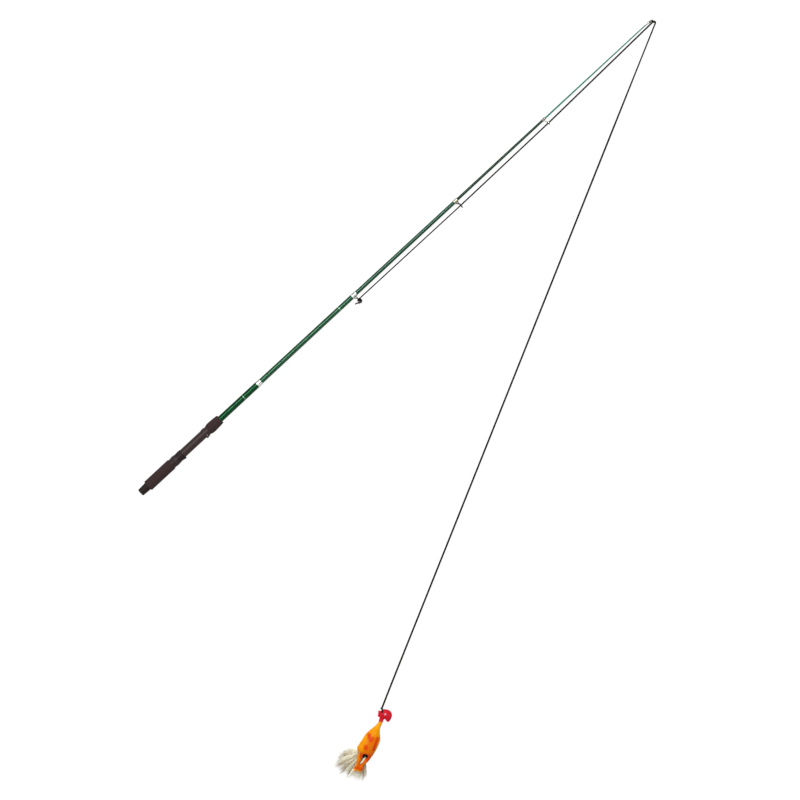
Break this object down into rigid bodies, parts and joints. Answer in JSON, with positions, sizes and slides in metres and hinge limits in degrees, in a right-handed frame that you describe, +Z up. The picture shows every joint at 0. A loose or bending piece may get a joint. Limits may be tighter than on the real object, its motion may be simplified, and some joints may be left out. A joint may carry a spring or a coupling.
{
  "type": "dog flirt pole",
  "caption": "Telescopic dog flirt pole: tapered green rod with line guides and a reel seat handle, and an elastic cord that ends in a rubber chicken lure.",
  "frame": {"origin": "centre of the butt cap's end face", "axes": "+X along the rod towards its tip (the rod itself dips 0.33 degrees so that fore grip and tip ring lie on the floor), +Y away from the line guides, the cord and the lure, +Z up"},
  "size_m": [1.5982, 0.8027, 0.0324],
  "materials": {
    "cap": "satin black",
    "grip": "matte dark foam",
    "seat": "satin graphite",
    "rivet": "bright",
    "rod": "glossy green lacquer on glass fibre",
    "ferrule": "bright silver",
    "nut": "matte dark",
    "guide_frame": "dark bronze",
    "guide_ring": "dark hard ring",
    "cord": "braided elastic, dark grey",
    "tip": "glossy turquoise lacquer on solid glass fibre",
    "toy_red": "soft red rubber",
    "toy_orange": "soft orange rubber",
    "toy_leg": "soft orange rubber",
    "squeaker": "black",
    "tail_hair": "loose cream hair"
  },
  "bodies": {
    "handle": {"butt_cap": "cap", "rear_grip": "grip", "reel_seat": "seat", "front_hood": "seat", "hood_rivets": "rivet", "fore_grip": "grip", "butt_blank": "rod", "butt_ferrule": "ferrule"},
    "hood": {"sliding_hood": "seat"},
    "nut": {"seat_nut": "nut"},
    "section_2": {"blank_2": "rod", "ferrule_2": "ferrule", "guide_2": "guide_frame", "guide_2_ring": "guide_ring", "cord_hitch": "cord", "cord_run_2": "cord"},
    "section_3": {"blank_3": "rod", "ferrule_3": "ferrule", "guide_3": "guide_frame", "guide_3_ring": "guide_ring", "cord_run_3": "cord"},
    "section_4": {"blank_4": "rod", "ferrule_4": "ferrule", "guide_4": "guide_frame", "guide_4_ring": "guide_ring", "cord_run_4": "cord"},
    "tip_section": {"tip_blank": "tip", "tip_tube": "ferrule", "tip_ring": "guide_frame"},
    "lure": {"cord_turn": "cord", "cord_free": "cord", "cord_knot": "cord"},
    "toy": {"toy_head": "toy_red", "toy_body": "toy_orange", "toy_legs": "toy_leg", "toy_squeaker": "squeaker", "toy_tail": "tail_hair", "toy_tie": "cord"}
  },
  "joints": [
    {"name": "hood_slide", "type": "slide", "parent": "handle", "child": "hood", "axis": [1, 0, -0.0057], "range_m": [-0.0001, 0.0201]},
    {"name": "nut_turn", "type": "hinge", "parent": "hood", "child": "nut", "pos_m": [0.1018, 0, -0.00058], "axis": [1, 0, -0.0057], "range_deg": [0, 2880]},
    {"name": "slide_2", "type": "slide", "parent": "handle", "child": "section_2", "axis": [1, 0, -0.0057], "range_m": [-0.2665, 0]},
    {"name": "slide_3", "type": "slide", "parent": "section_2", "child": "section_3", "axis": [1, 0, -0.0057], "range_m": [-0.2865, 0], "deforming": ["cord_run_2"]},
    {"name": "slide_4", "type": "slide", "parent": "section_3", "child": "section_4", "axis": [1, 0, -0.0057], "range_m": [-0.2495, 0], "deforming": ["cord_run_3"]},
    {"name": "slide_tip", "type": "slide", "parent": "section_4", "child": "tip_section", "axis": [1, 0, -0.0057], "range_m": [-0.2945, 0], "deforming": ["cord_run_4"]},
    {"name": "lure_swing", "type": "hinge", "parent": "tip_section", "child": "lure", "pos_m": [1.50023, -0.0086, -0.0086], "axis": [0, 0, 1], "range_deg": [-2, 120]},
    {"name": "toy_swing", "type": "hinge", "parent": "lure", "child": "toy", "pos_m": [0.06517, -0.69323, -0.0023], "axis": [0, 0, 1], "range_deg": [-60, 60]}
  ],
  "couplings": [
    {"joint": "hood_slide", "follows": "nut_turn", "m_per_rad": 0.00039789}
  ]
}
